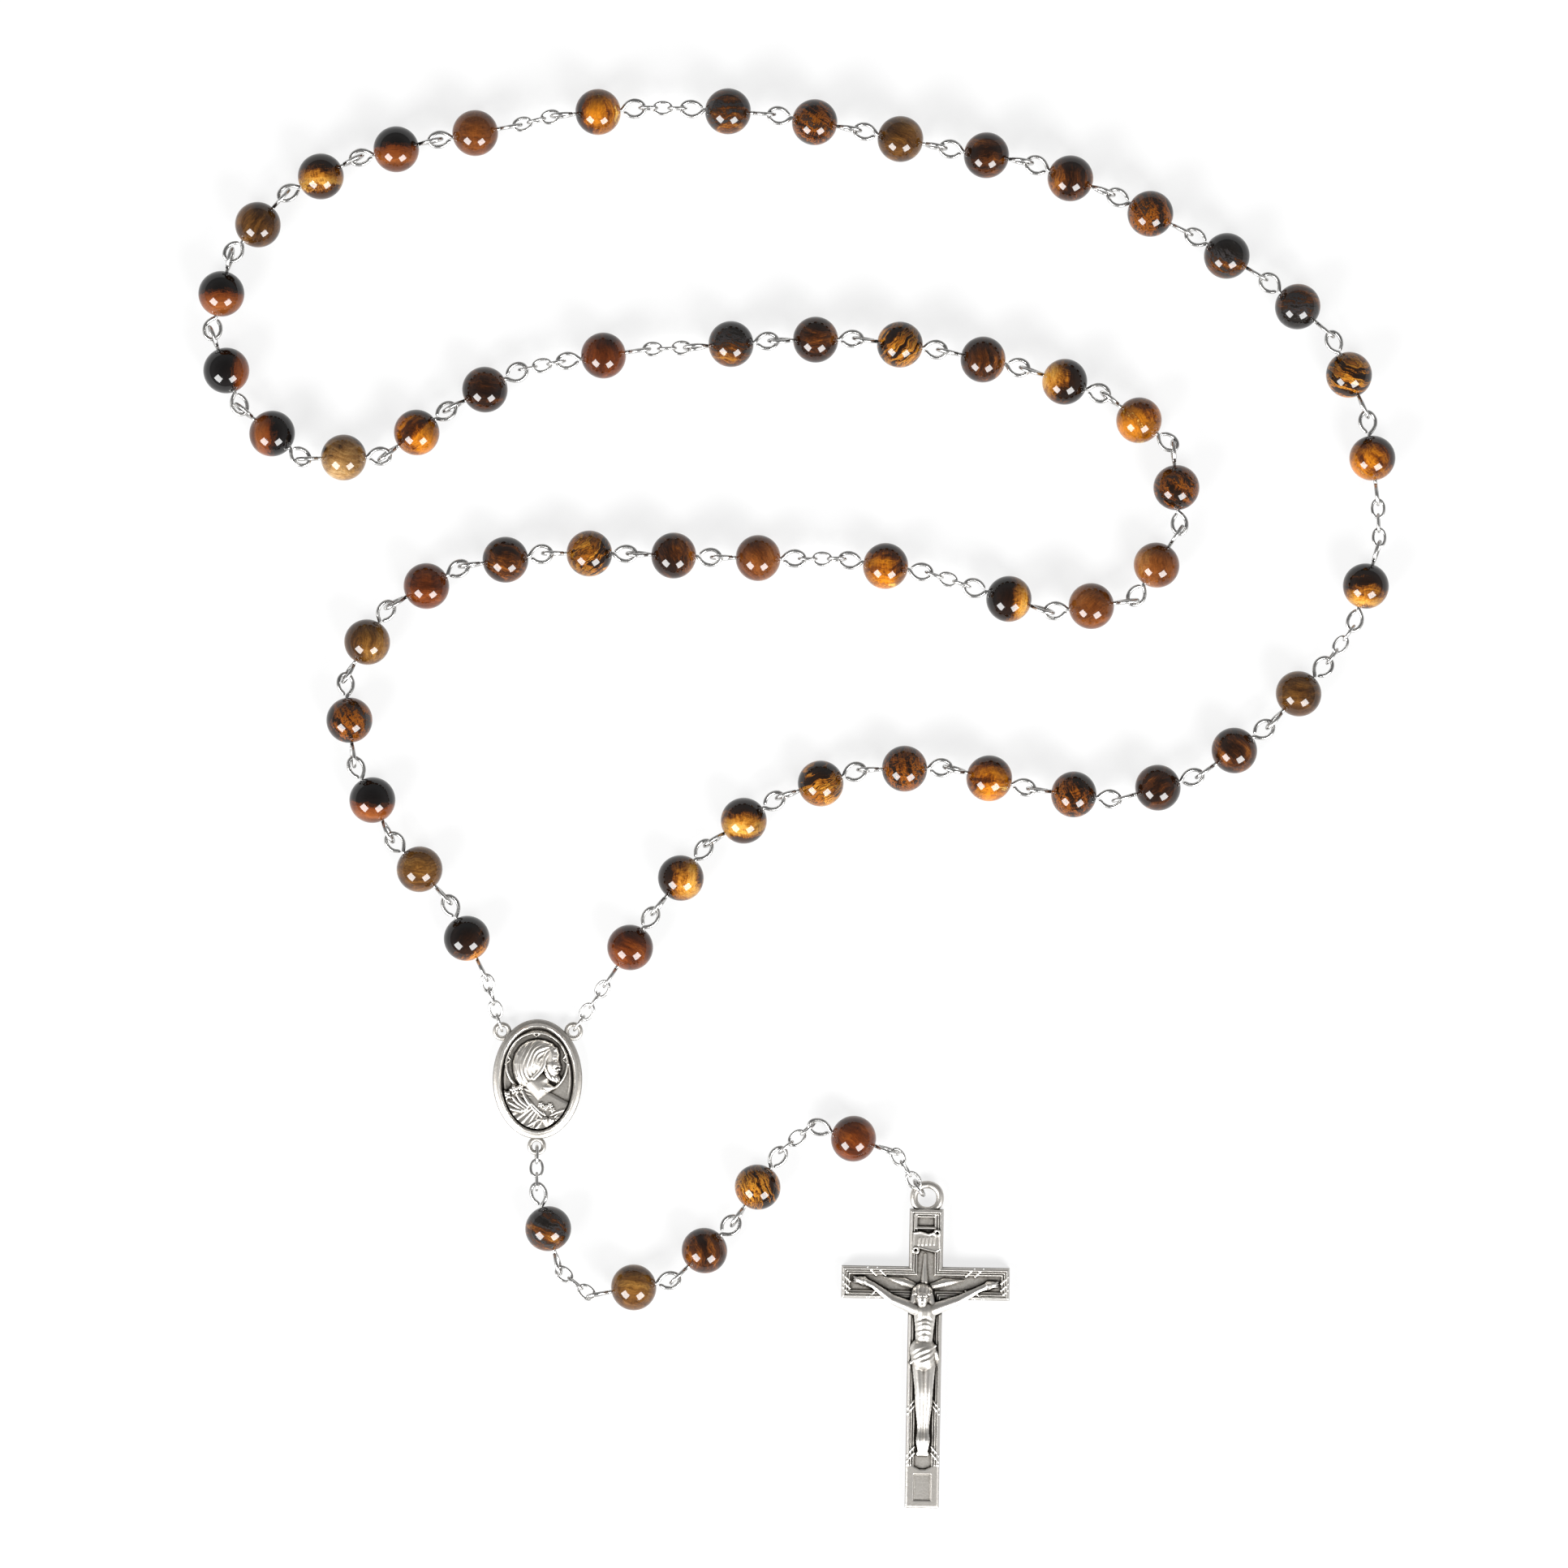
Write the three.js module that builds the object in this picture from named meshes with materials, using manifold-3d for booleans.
// A five-decade rosary laid out flat, in millimetres with Z up: 59 tiger's-eye beads on looped
// wire pins, fourteen short chain sections, an oval centre medal and a cast crucifix.
// Each strand is a row of rigid units. A unit runs from one connection to the next, and at
// every connection a loop that lies flat passes through a loop that stands upright.
import * as THREE from "three";
import { mergeVertices } from "three/addons/utils/BufferGeometryUtils.js";
import Module from "manifold-3d";

const wasm = await Module();
wasm.setup();

// Beads and eye pins
const BEAD_RADIUS = 3;
const BORE_RADIUS = 0.52;
const PIN_RADIUS = 0.26;
const EYE_HALF_LENGTH = 1.4;
const EYE_HALF_WIDTH = 1.15;
const EYE_OFFSET = 4.65;
const OPEN_EYE_REACH = 4.75;
const BEAD_SIDES = 8;
const BEAD_BANDS = 6;

const LOOP_SEGMENTS = 6;
const TIE_RADIUS = 0.18;

// Chain links and the jump ring of the crucifix
const LINK_HALF_LENGTH = 1.1;
const LINK_HALF_WIDTH = 0.8;
const LINK_WIRE = 0.22;
const CHAIN_LINKS = 3;
const MEDAL_CHAIN_LINKS = 4;
const FUSED_OVERLAP = 0.12;
const RING_HALF_LENGTH = 1.15;
const RING_HALF_WIDTH = 1.05;
const RING_WIRE = 0.25;
const RING_LIFT = 1.9;

// Centre medal
const MEDAL_AT = [-34.1, -36.4];
const MEDAL_HALF_WIDTH = 5.8;
const MEDAL_HALF_HEIGHT = 7.75;
const MEDAL_FIELD = 1.1;
const MEDAL_EDGE = 1.9;
const EYELET_RADIUS = 0.9;
const EYELET_WIRE = 0.3;
const EYELET_LIFT = 0.95;
const EYELETS = { left: [-4.6, 6.2], right: [4.7, 6.2], bottom: [-0.1, -8.7] };

// Crucifix, measured from the crossing of its two bars
const CRUCIFIX_AT = [16.3, -62.9];
const CRUCIFIX_TURN = THREE.MathUtils.degToRad(-1);
const STEM_TOP = 9.6;
const STEM_BOTTOM = -29.2;
const STEM_HALF = 2.2;
const ARM_REACH = 10.9;
const ARM_HALF = 2.1;
const CROSS_THICK = 1.6;
const BORDER_WIDTH = 0.45;
const BORDER_RISE = 0.4;
const BAIL_CENTRE = 11.1;
const BAIL_RADIUS = 1.7;
const BAIL_WIRE = 0.5;
const BAIL_LIFT = 1;

// How far a joint lets its piece lift or swing to each side, in degrees
const LIFT_RANGE = 60;
const PENDANT_SWING = 40;
const LOOP_SWING = 20;

const TIGER_EYE = { color: 0x8a4a16, roughness: 0.15, metalness: 0 };
const SILVER = { color: 0xc8cacd, roughness: 0.25, metalness: 1 };
const PEWTER = { color: 0x8f9092, roughness: 0.4, metalness: 1 };

const UP = new THREE.Vector3(0, 0, 1);

// ---- shapes and solids ----------------------------------------------------------------------

// A shape as a closed solid: shared corners merged and collapsed triangles left out.
function solidOf(shape) {
  const bare = new THREE.BufferGeometry();
  bare.setAttribute("position", shape.getAttribute("position"));
  bare.setIndex(shape.index);
  const merged = mergeVertices(bare, 1e-4);
  const corners = merged.index.array;
  const triVerts = [];
  for (let i = 0; i < corners.length; i += 3) {
    const [a, b, c] = corners.slice(i, i + 3);
    if (a !== b && b !== c && c !== a) triVerts.push(a, b, c);
  }
  return new wasm.Manifold(
    new wasm.Mesh({
      numProp: 3,
      vertProperties: merged.attributes.position.array,
      triVerts: new Uint32Array(triVerts),
    }),
  );
}

// One named node whose shapes are joined into a single solid.
function addNode(group, name, shapes, look) {
  const mesh = shapes.map(solidOf).reduce((whole, next) => whole.add(next)).getMesh();
  const geometry = new THREE.BufferGeometry();
  geometry.setAttribute("position", new THREE.BufferAttribute(mesh.vertProperties, 3));
  geometry.setIndex(new THREE.BufferAttribute(mesh.triVerts, 1));
  const node = new THREE.Mesh(geometry, new THREE.MeshStandardMaterial(look));
  node.name = name;
  group.add(node);
  return node;
}

// A stretched ball, for the rounded masses of the two relief figures.
function blob([x, y, z], [halfX, halfY, halfZ], sides = 8, bands = 6) {
  return new THREE.SphereGeometry(1, sides, bands).scale(halfX, halfY, halfZ).translate(x, y, z);
}

// A straight tapering limb between two points, round in section.
function limb(from, to, fromRadius, toRadius, sides = 6) {
  const start = new THREE.Vector3(...from);
  const along = new THREE.Vector3(...to).sub(start);
  const turn = new THREE.Quaternion().setFromUnitVectors(
    new THREE.Vector3(0, 1, 0),
    along.clone().normalize(),
  );
  return new THREE.CylinderGeometry(toRadius, fromRadius, along.length(), sides)
    .translate(0, along.length() / 2, 0)
    .applyQuaternion(turn)
    .translate(...from);
}

// A flat slab cut from an outline, with an optional hole.
function slab(outline, low, high, hole) {
  const shape = new THREE.Shape(outline);
  if (hole) shape.holes.push(new THREE.Path(hole));
  const solid = new THREE.ExtrudeGeometry(shape, { depth: high - low, bevelEnabled: false });
  return solid.translate(0, 0, low);
}

// A loop of wire round the origin, flat in XY or upright in XZ, longer along X than across.
function wireLoop(halfLength, halfWidth, wire, upright, segments = LOOP_SEGMENTS) {
  const mean = (halfLength + halfWidth) / 2;
  const ring = new THREE.TorusGeometry(mean, wire, 4, segments);
  const spots = ring.getAttribute("position");
  for (let i = 0; i < spots.count; i++) {
    const bearing = Math.atan2(spots.getY(i), spots.getX(i));
    spots.setX(i, spots.getX(i) + (halfLength - mean) * Math.cos(bearing));
    spots.setY(i, spots.getY(i) + (halfWidth - mean) * Math.sin(bearing));
  }
  return upright ? ring.rotateX(Math.PI / 2) : ring;
}

// ---- the pieces of a strand -----------------------------------------------------------------

// The two loops of an eye pin along X, each from a distance near the bead's centre to its far
// reach. A loop at the opened connection of the rosary's ring reaches less far than the others.
function pinEyes({ startUpright, endUpright, startReach, endReach }, near) {
  const eye = (upright, far) => wireLoop((far - near) / 2, EYE_HALF_WIDTH, PIN_RADIUS, upright);
  return [
    eye(startUpright, startReach).translate(-(startReach + near) / 2, 0, 0),
    eye(endUpright, endReach).translate((endReach + near) / 2, 0, 0),
  ];
}

// An eye pin whose straight shank runs through a bead that turns on it.
function eyePin(each) {
  const reach = EYE_OFFSET - EYE_HALF_LENGTH;
  return [
    limb([-reach, 0, 0], [reach, 0, 0], PIN_RADIUS, PIN_RADIUS, 4),
    ...pinEyes(each, reach),
  ];
}

// A bead with the loops of its pin bedded in its two ends.
function pinnedBead(each) {
  return [bead(0), ...pinEyes(each, BEAD_RADIUS)];
}

// A bead turned round the line of its pin. A bore of zero leaves it solid.
function bead(bore) {
  const start = Math.asin(bore / BEAD_RADIUS);
  const profile = [];
  for (let i = 0; i <= BEAD_BANDS; i++) {
    const angle = start + ((Math.PI - 2 * start) * i) / BEAD_BANDS;
    const radius = i % BEAD_BANDS === 0 ? bore : BEAD_RADIUS * Math.sin(angle);
    profile.push(new THREE.Vector2(radius, -BEAD_RADIUS * Math.cos(angle)));
  }
  if (bore > 0) profile.push(profile[0].clone());
  return new THREE.LatheGeometry(profile, BEAD_SIDES).rotateZ(-Math.PI / 2);
}

// Links in a row, each turned a quarter from the last and pressed against it.
function chainSection(kind, startUpright) {
  const shapes = [];
  const { links } = UNITS[kind];
  for (let i = 0; i < links; i++) {
    const upright = i % 2 === 0 ? startUpright : !startUpright;
    const link = wireLoop(LINK_HALF_LENGTH, LINK_HALF_WIDTH, LINK_WIRE, upright);
    shapes.push(link.translate((i - (links - 1) / 2) * CHAIN_PITCH, 0, 0));
  }
  return shapes;
}

const CHAIN_PITCH = 2 * LINK_HALF_LENGTH - 2 * LINK_WIRE + FUSED_OVERLAP;
const chainSpan = (links) => (links - 1) * CHAIN_PITCH + 2 * LINK_HALF_LENGTH;
const UNITS = {
  bead: { span: 2 * (EYE_OFFSET + EYE_HALF_LENGTH), wire: PIN_RADIUS },
  chain: { span: chainSpan(CHAIN_LINKS), wire: LINK_WIRE, links: CHAIN_LINKS },
  medalChain: { span: chainSpan(MEDAL_CHAIN_LINKS), wire: LINK_WIRE, links: MEDAL_CHAIN_LINKS },
  ring: { span: 2 * RING_HALF_LENGTH, wire: RING_WIRE, links: 1 },
};

// ---- routes ---------------------------------------------------------------------------------

// The route of each section, as points the strand passes through on the table.
const ROUTES = {
  pendant: [[-34.2, -50], [-32.6, -56.6], [-29.6, -63.4], [-20.5, -64.4], [-10.9, -57.8],
    [-4.4, -48.6], [0.8, -42.6], [9.2, -42.8]],
  decade1: [[-25.6, -24.6], [-21, -18], [-14.8, -8.6], [-6.4, -1.9], [4.2, 2.9], [16.3, 4.4],
    [26.4, 2.2], [37.2, -0.2], [48.1, 1.3], [58, 7.2], [64.9, 13.4]],
  decade2: [[74.5, 43.7], [72.1, 54.6], [66.3, 63.2], [57.2, 69.3], [47.1, 75.2], [36.9, 79.9],
    [26.2, 83.5], [15, 84.9], [3.7, 87.6], [-8.2, 89.3]],
  decade3: [[-40.6, 86.4], [-51.8, 84.6], [-63.6, 80.6], [-71.4, 73.8], [-76.2, 65.3],
    [-75, 55.2], [-69, 46.8], [-60.7, 43.2], [-50.2, 46.2], [-41.6, 54]],
  decade4: [[-8.7, 58.8], [2.7, 60], [13.8, 58.8], [24.6, 57], [35.8, 53.6], [46.4, 49],
    [49.6, 40.2], [47.2, 29.4], [38.2, 23.6], [28, 25.6]],
  decade5: [[-7.1, 31.2], [-18.1, 31.6], [-28.5, 32], [-39.9, 31], [-49.7, 27.8],
    [-57.8, 19.3], [-59.3, 9.8], [-56.3, 1.2], [-51.5, -7.4], [-43.5, -15.9]],
};
const OUR_FATHERS = [[73.4, 27.6], [-26.2, 89.1], [-25.5, 57.5], [11.1, 30.2]];
const ROUTE_STEPS = 4000;
const CHAIN_SLACK_SHARE = 0.4;
const MOST_SLACK = 2;

function onTable([x, y], z = 0) {
  return new THREE.Vector3(x, y, z);
}

function eyeletAt([x, y]) {
  return onTable([MEDAL_AT[0] + x, MEDAL_AT[1] + y], EYELET_LIFT);
}

function bailAt() {
  const offset = onTable([0, BAIL_CENTRE]).applyAxisAngle(UP, CRUCIFIX_TURN);
  return onTable(CRUCIFIX_AT, BAIL_LIFT).add(offset);
}

// Distance between the middles of the two wires that cross at a connection.
function gapBetween(first, second, slack) {
  const share = first.wire === PIN_RADIUS && second.wire === PIN_RADIUS ? 1 : CHAIN_SLACK_SHARE;
  return first.wire + second.wire + share * slack;
}

// The end of a section at a loop of the medal or the bail of the crucifix. The connection sits
// just inside the wire, on the side that the strand leaves by.
function loopEnd(centre, radius, wire, towards) {
  const out = onTable(towards).sub(centre).setZ(0).normalize();
  return { wire, point: (gap) => centre.clone().addScaledVector(out, radius - gap / 2) };
}

// The end of a section at an Our Father bead, which points along the line between neighbours.
function beadEnd(at, previous, next, side) {
  const along = onTable(next).sub(onTable(previous)).normalize();
  const reach = UNITS.bead.span / 2;
  const centre = onTable(at, BEAD_RADIUS);
  return {
    wire: PIN_RADIUS,
    point: (gap) => centre.clone().addScaledVector(along, side * (reach - gap / 2)),
  };
}

// The gaps at the two ends of unit i of a section.
function gapsOf(section, i, slack) {
  const { kinds, start, end } = section;
  const own = UNITS[kinds[i]];
  const before = i === 0 ? start : UNITS[kinds[i - 1]];
  const after = i === kinds.length - 1 ? end : UNITS[kinds[i + 1]];
  return [gapBetween(before, own, slack), gapBetween(own, after, slack)];
}

function chordOf(section, i, slack) {
  const [before, after] = gapsOf(section, i, slack);
  return UNITS[section.kinds[i]].span - before / 2 - after / 2;
}

// Beads hold their loops at the height of their bores. The crucifix's ring hangs lower.
function heightAfter(kinds, i) {
  return kinds[i] === "bead" || kinds[i + 1] === "bead" ? BEAD_RADIUS : RING_LIFT;
}

// Lays one section along its route: the connections, each a fixed distance from the last.
function layOut(section, slack) {
  const { kinds, line, start, end } = section;
  const last = kinds.length - 1;
  const points = [start.point(gapsOf(section, 0, slack)[0])];
  let step = 0;
  for (let i = 0; i < last; i++) {
    const here = points[i];
    const height = heightAfter(kinds, i);
    const reach = Math.sqrt(chordOf(section, i, slack) ** 2 - (height - here.z) ** 2);
    const near = (spot) => Math.hypot(spot.x - here.x, spot.y - here.y) < reach;
    while (step < line.length - 1 && near(line[step])) {
      step++;
    }
    points.push(new THREE.Vector3(line[step].x, line[step].y, height));
  }
  points.push(end.point(gapsOf(section, last, slack)[1]));
  return points;
}

// The slack that makes the last unit of a section just reach the section's end.
function solveSlack(section) {
  const last = section.kinds.length - 1;
  let low = 0;
  let high = MOST_SLACK;
  for (let i = 0; i < 30; i++) {
    const slack = (low + high) / 2;
    const points = layOut(section, slack);
    if (points[last].distanceTo(points[last + 1]) > chordOf(section, last, slack)) high = slack;
    else low = slack;
  }
  return low;
}

function sectionOf(name, kinds, start, end) {
  const ends = [start, end].map((side) => side.point(0).setZ(0));
  const spots = [ends[0], ...ROUTES[name].map((spot) => onTable(spot)), ends[1]];
  const line = new THREE.CatmullRomCurve3(spots, false, "centripetal").getSpacedPoints(ROUTE_STEPS);
  const section = { name, kinds, start, end, line };
  section.slack = solveSlack(section);
  return section;
}

const BEADS_PER_DECADE = 10;
const PENDANT = ["chain", "bead", "chain", "bead", "bead", "bead", "chain", "bead", "chain", "ring"];
const eyeletEnd = (side, towards) =>
  loopEnd(eyeletAt(EYELETS[side]), EYELET_RADIUS, EYELET_WIRE, towards);

function decadeSection(number) {
  const name = "decade" + number;
  const before = OUR_FATHERS[number - 2];
  const after = OUR_FATHERS[number - 1];
  const route = ROUTES[name];
  const beads = Array(BEADS_PER_DECADE).fill("bead");
  const kinds = [before ? "chain" : "medalChain", ...beads, after ? "chain" : "medalChain"];
  const start = before
    ? beadEnd(before, ROUTES["decade" + (number - 1)].at(-1), route[0], 1)
    : eyeletEnd("right", route[0]);
  const end = after
    ? beadEnd(after, route.at(-1), ROUTES["decade" + (number + 1)][0], -1)
    : eyeletEnd("left", route.at(-1));
  return sectionOf(name, kinds, start, end);
}
const sections = [1, 2, 3, 4, 5].map(decadeSection);
const pendant = sectionOf("pendant", PENDANT, eyeletEnd("bottom", ROUTES.pendant[0]),
  loopEnd(bailAt(), BAIL_RADIUS, BAIL_WIRE, ROUTES.pendant.at(-1)));

// ---- placing the pieces -----------------------------------------------------------------------

const joints = [];
const root = new THREE.Group();
const centred = new THREE.Group();
root.name = "rosary";
root.add(centred);

function newGroup(name) {
  const group = new THREE.Group();
  group.name = name;
  centred.add(group);
  return group;
}

// A unit's own frame: X along the strand, Z up.
function unit(kind, centre, along, half) {
  const side = UP.clone().cross(along).normalize();
  const lift = along.clone().cross(side);
  return { kind, centre, along, side, lift, half, startReach: half, endReach: half };
}

function unitsOf(section) {
  const points = layOut(section, section.slack);
  return section.kinds.map((kind, i) => {
    const along = points[i + 1].clone().sub(points[i]).normalize();
    const [before] = gapsOf(section, i, section.slack);
    const half = UNITS[kind].span / 2;
    return unit(kind, points[i].clone().addScaledVector(along, half - before / 2), along, half);
  });
}

function ourFatherUnit(number) {
  const along = sections[number].start.point(0).sub(sections[number - 1].end.point(0)).normalize();
  return unit("bead", onTable(OUR_FATHERS[number - 1], BEAD_RADIUS), along, UNITS.bead.span / 2);
}

// A fixed loop of a casting, as the unit that a strand starts or ends at.
function fixedLoop(body, centre, along, radius) {
  const loop = unit("loop", centre, along.clone().setZ(0).normalize(), radius);
  return { ...loop, body, startUpright: false, endUpright: false };
}

// Decides which way each loop stands. A loop that stands upright is held by a flat one. A pin's
// two loops are a quarter turn apart, except on the pin given as even, and so are the first and
// last links of a chain with an even number of links.
function standLoops(units, evenPin) {
  let upright = true;
  for (const each of units) {
    const turned = each.kind === "bead" ? each !== evenPin : UNITS[each.kind].links % 2 === 0;
    each.startUpright = upright;
    each.endUpright = turned ? !upright : upright;
    upright = !each.endUpright;
  }
}

function frameOf({ along, side, lift, centre }) {
  return new THREE.Matrix4().makeBasis(along, side, lift).setPosition(centre);
}

function place(group, name, shapes, look, each) {
  const node = addNode(group, name, shapes, look);
  node.position.copy(each.centre);
  node.quaternion.setFromRotationMatrix(frameOf(each));
  each.body ??= name;
}

function addThreadedBead(group, name, each) {
  const beadName = name + "_bead";
  place(group, name + "_pin", eyePin(each), SILVER, each);
  place(group, beadName, [bead(BORE_RADIUS)], TIGER_EYE, each);
  spins.push({
    name: beadName + "_spin",
    parent: each.body,
    child: beadName,
    at: each.centre,
    axis: each.along,
  });
}

// Two neighbouring beads of a decade, as one piece: a short bar ties the wires of their linked
// loops where they bear on each other.
function addBeadPair(group, name, first, second) {
  const inFirst = frameOf(first).invert().multiply(frameOf(second));
  const reach = UNITS.bead.span / 2;
  const farWire = [reach, 0, 0];
  const nextWire = new THREE.Vector3(-reach, 0, 0).applyMatrix4(inFirst).toArray();
  const shapes = [
    ...pinnedBead(first),
    ...pinnedBead(second).map((shape) => shape.applyMatrix4(inFirst)),
    limb(farWire, nextWire, TIE_RADIUS, TIE_RADIUS, 4),
  ];
  place(group, name, shapes, TIGER_EYE, first);
  second.body = first.body;
}

// Adds the nodes of a decade section: chain, five pairs of beads, chain.
function addDecade(number, units) {
  const group = newGroup("decade" + number);
  const [firstChain, ...rest] = units;
  const lastChain = rest.pop();
  const chain = (name, each) =>
    place(group, name, chainSection(each.kind, each.startUpright), SILVER, each);
  chain("decade" + number + "_chain_first", firstChain);
  for (let i = 0; i < rest.length; i += 2) {
    const name = "decade" + number + "_beads_" + (i + 1) + "_" + (i + 2);
    addBeadPair(group, name, rest[i], rest[i + 1]);
  }
  chain("decade" + number + "_chain_last", lastChain);
}

const spins = [];
const decadeUnits = sections.map(unitsOf);
const fatherUnits = OUR_FATHERS.map((_, i) => ourFatherUnit(i + 1));
const loopUnits = decadeUnits.flatMap((units, i) => (fatherUnits[i] ? [...units, fatherUnits[i]] : units));
const pendantUnits = unitsOf(pendant);
standLoops(loopUnits, fatherUnits.at(-1));
standLoops(pendantUnits);

// The ring of five decades is opened between two beads of the third, so that its two halves can
// move on their own. The loops there stop short of each other.
const OPEN_AFTER = decadeUnits[2][6];
const openAt = loopUnits.indexOf(OPEN_AFTER) + 1;
OPEN_AFTER.endReach = OPEN_EYE_REACH;
loopUnits[openAt].startReach = OPEN_EYE_REACH;

decadeUnits.forEach((units, i) => addDecade(i + 1, units));
const fathers = newGroup("our_fathers");
fatherUnits.forEach((each, i) => addThreadedBead(fathers, "our_father_" + (i + 1), each));

const pendantGroup = newGroup("pendant");
const counts = { bead: 0, chain: 0 };
for (const each of pendantUnits) {
  const number = ++counts[each.kind];
  if (each.kind === "bead") addThreadedBead(pendantGroup, "pendant_" + number, each);
  if (each.kind === "chain") {
    const links = chainSection(each.kind, each.startUpright);
    place(pendantGroup, "pendant_chain_" + number, links, SILVER, each);
  }
  if (each.kind === "ring") {
    const ring = wireLoop(RING_HALF_LENGTH, RING_HALF_WIDTH, RING_WIRE, each.startUpright);
    place(pendantGroup, "crucifix_ring", [ring], SILVER, each);
  }
}

// ---- the centre medal -------------------------------------------------------------------------

// The medal's section from its middle outwards, as shares of its half width and heights.
const MEDAL_PROFILE = [[0, 0], [0.94, 0], [1, 0.4], [1, 1.3], [0.94, MEDAL_EDGE], [0.88, MEDAL_EDGE],
  [0.83, MEDAL_FIELD], [0, MEDAL_FIELD]];

function medalShapes() {
  const profile = MEDAL_PROFILE.map(([share, height]) => new THREE.Vector2(share, height));
  const disc = new THREE.LatheGeometry(profile, 20).rotateX(Math.PI / 2);
  const eyelet = ([x, y]) => wireLoop(EYELET_RADIUS, EYELET_RADIUS, EYELET_WIRE, false, 8)
    .translate(x, y, EYELET_LIFT);
  return [
    disc.scale(MEDAL_HALF_WIDTH, MEDAL_HALF_HEIGHT, 1),
    ...Object.values(EYELETS).map(eyelet),
    ...bustShapes(),
  ];
}

// A small veiled bust turned to the right, in front of a thin halo with three rays.
function bustShapes() {
  const level = MEDAL_FIELD;
  const halo = wireLoop(3.4, 3.4, 0.25, false, 16).translate(-0.2, 1.6, level);
  return [
    halo,
    blob([-0.7, 1.9, level], [1.9, 2.2, 1]),
    blob([0.4, 1.6, level + 0.2], [1.3, 1.7, 1.2]),
    limb([0, -0.4, level + 0.2], [-0.2, -2.4, level + 0.2], 0.9, 1.2),
    blob([-0.2, -3.6, level], [3.9, 2.2, 1]),
    blob([-3.3, -1.3, level], [0.7, 0.9, 0.5], 6, 4),
    blob([0.9, -5, level + 0.4], [0.7, 0.8, 0.6], 6, 4),
  ];
}

const medal = addNode(newGroup("medal"), "centre_medal", medalShapes(), PEWTER);
medal.position.set(...MEDAL_AT, 0);

// ---- the crucifix -----------------------------------------------------------------------------

function crossOutline(inset) {
  const stem = STEM_HALF - inset;
  const arm = ARM_HALF - inset;
  const reach = ARM_REACH - inset;
  const top = STEM_TOP - inset;
  const foot = STEM_BOTTOM + inset;
  return [[stem, foot], [stem, -arm], [reach, -arm], [reach, arm], [stem, arm], [stem, top],
    [-stem, top], [-stem, arm], [-reach, arm], [-reach, -arm], [-stem, -arm], [-stem, foot]]
    .map(([x, y]) => new THREE.Vector2(x, y));
}

function crucifixShapes() {
  const face = CROSS_THICK;
  const bail = wireLoop(BAIL_RADIUS, BAIL_RADIUS, BAIL_WIRE, false, 10);
  return [
    slab(crossOutline(0), 0, face),
    slab(crossOutline(0), face - 0.2, face + BORDER_RISE, crossOutline(BORDER_WIDTH)),
    bail.translate(0, BAIL_CENTRE, BAIL_LIFT),
    ...corpusShapes(face),
    ...headboardShapes(face),
  ];
}

// The figure in high relief: arms raised to the bar, legs together.
function corpusShapes(face) {
  const arm = (side, hand) => [
    limb([side * 1.1, -2.9, face + 0.7], [...hand, face + 0.3], 0.65, 0.4),
    blob([...hand, face + 0.3], [0.7, 0.6, 0.5], 6, 4),
  ];
  return [
    blob([-0.3, -1.3, face + 0.9], [0.95, 1.3, 1.1]),
    limb([-0.1, -2.2, face + 0.8], [-0.1, -8.2, face + 0.6], 1.5, 1.05, 8),
    blob([-0.1, -9.4, face + 0.6], [1.75, 1.6, 1.1]),
    limb([0.45, -10, face + 0.4], [0.15, -20.2, face + 0.3], 0.85, 0.5),
    limb([-0.55, -10, face + 0.4], [-0.15, -20.2, face + 0.3], 0.85, 0.5),
    blob([-0.1, -21.2, face + 0.3], [0.8, 1.5, 0.6], 6, 4),
    ...arm(-1, [-8.3, 0.2]),
    ...arm(1, [8.6, 0]),
  ];
}

// The blank scroll above the head, the spike under it and the rays beside the head.
function headboardShapes(face) {
  const scroll = [[-1.7, 4], [1.5, 4.3], [1.7, 6.6], [-1.5, 6.3]];
  const rays = [-1, 1].map((side) =>
    limb([side * 0.8, -0.8, face], [side * 4.4, -0.6, face + 0.2], 0.6, 0.15));
  return [
    slab(scroll.map(([x, y]) => new THREE.Vector2(x, y)), face - 0.2, face + 0.6),
    limb([-0.2, -0.4, face + 0.1], [-0.2, 3.9, face + 0.2], 0.5, 0.15),
    ...rays,
  ];
}

const crucifix = addNode(newGroup("cross"), "crucifix", crucifixShapes(), PEWTER);
crucifix.position.set(...CRUCIFIX_AT, 0);
crucifix.rotation.z = CRUCIFIX_TURN;

// ---- the joints ------------------------------------------------------------------------------

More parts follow.
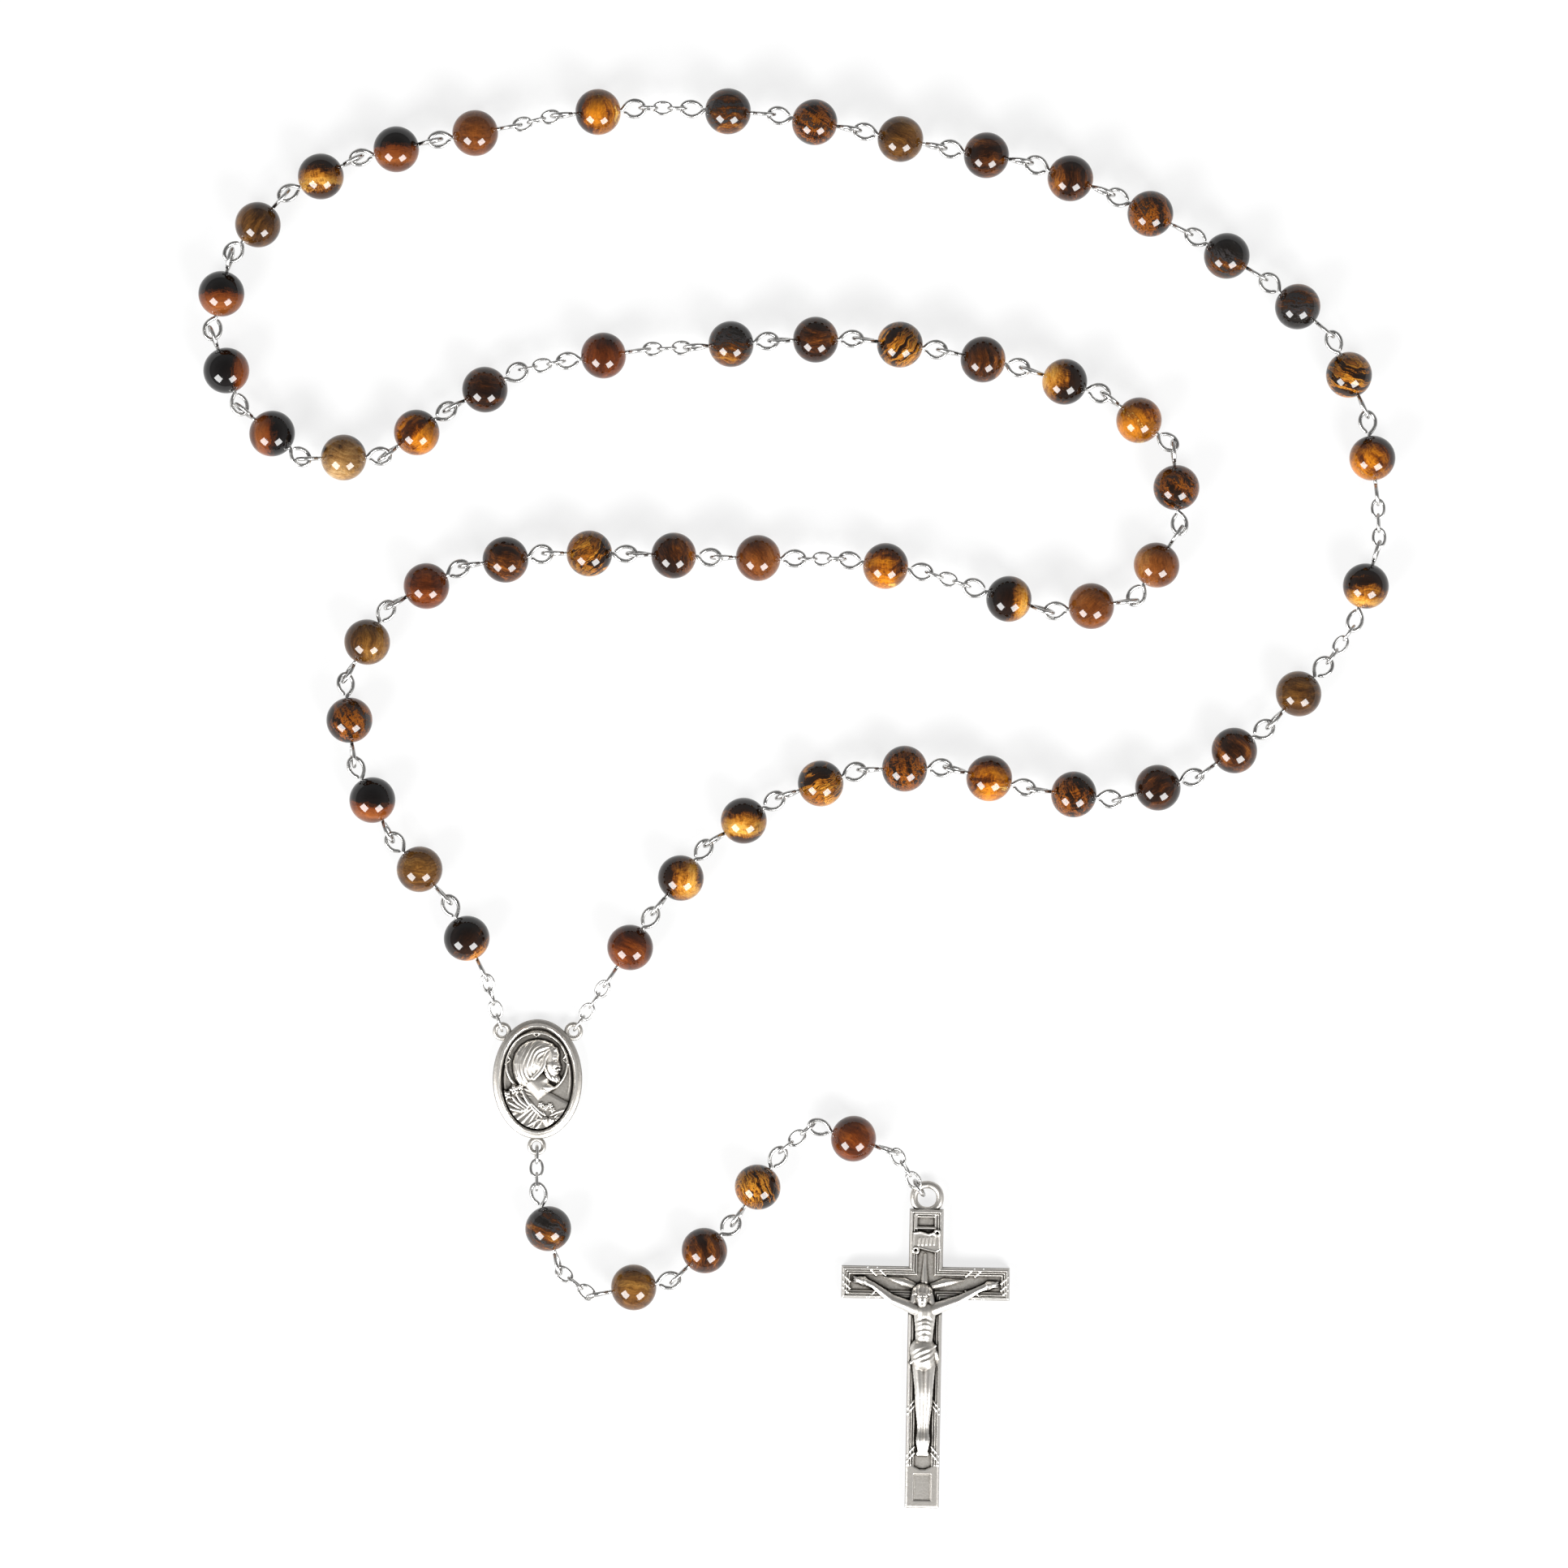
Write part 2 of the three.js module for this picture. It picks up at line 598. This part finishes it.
// A lift turns on the wire of the flat loop of a connection, a swing on the upright one's.
// The strand runs from first to second, and the joint's parent is whichever is nearer the medal.
function connect(first, second, motion, range, sign, outward) {
  const flatFirst = !first.endUpright;
  const ownerFirst = motion === "lift" ? flatFirst : !flatFirst;
  const owner = ownerFirst ? first : second;
  const at = owner.centre.clone().addScaledVector(owner.along, ownerFirst ? owner.half : -owner.half);
  const axis = (motion === "lift" ? owner.side : owner.lift).clone().multiplyScalar(sign);
  const [parent, child] = outward ? [first.body, second.body] : [second.body, first.body];
  joints.push({ name: child + "_" + motion, parent, child, at, axis, range });
}

// Joins a strand's units in order. Signs alternate within each motion, and the first joint of
// each motion has half the range, so that joints all at one end of their ranges make a zigzag
// about the resting line.
function connectStrand(units, swingRange, isSwing, outward) {
  const turns = { lift: 0, swing: 0 };
  const links = [];
  for (let i = 1; i < units.length; i++) {
    if (units[i].body !== units[i - 1].body) links.push([units[i - 1], units[i]]);
  }
  if (!outward) links.reverse();
  links.forEach(([first, second], i) => {
    const motion = isSwing(i) ? "swing" : "lift";
    const full = motion === "swing" ? swingRange : LIFT_RANGE;
    const range = turns[motion] === 0 ? full / 2 : full;
    const sign = turns[motion]++ % 2 === 0 ? 1 : -1;
    connect(first, second, motion, range, sign, outward);
  });
}

const medalLoop = (side, along) => fixedLoop("centre_medal", eyeletAt(EYELETS[side]), along, EYELET_RADIUS);
const bailLoop = fixedLoop("crucifix", bailAt(), pendantUnits.at(-1).along, BAIL_RADIUS);

connectStrand([medalLoop("bottom", pendantUnits[0].along), ...pendantUnits, bailLoop],
  PENDANT_SWING, (i) => i % 2 === 1, true);
connectStrand([medalLoop("right", loopUnits[0].along), ...loopUnits.slice(0, openAt)],
  LOOP_SWING, (i) => i === 0, true);
connectStrand([...loopUnits.slice(openAt), medalLoop("left", loopUnits.at(-1).along)],
  LOOP_SWING, (i) => i === 0, false);
joints.push(...spins);

// ---- the origin: the middle of the whole box, on the table ------------------------------------

const box = new THREE.Box3().setFromObject(root, true);
const middle = box.getCenter(new THREE.Vector3()).setZ(box.min.z);
centred.position.copy(middle).negate();
root.userData.joints = joints.map((joint) => ({ ...joint, at: joint.at.clone().sub(middle) }));

export default root;
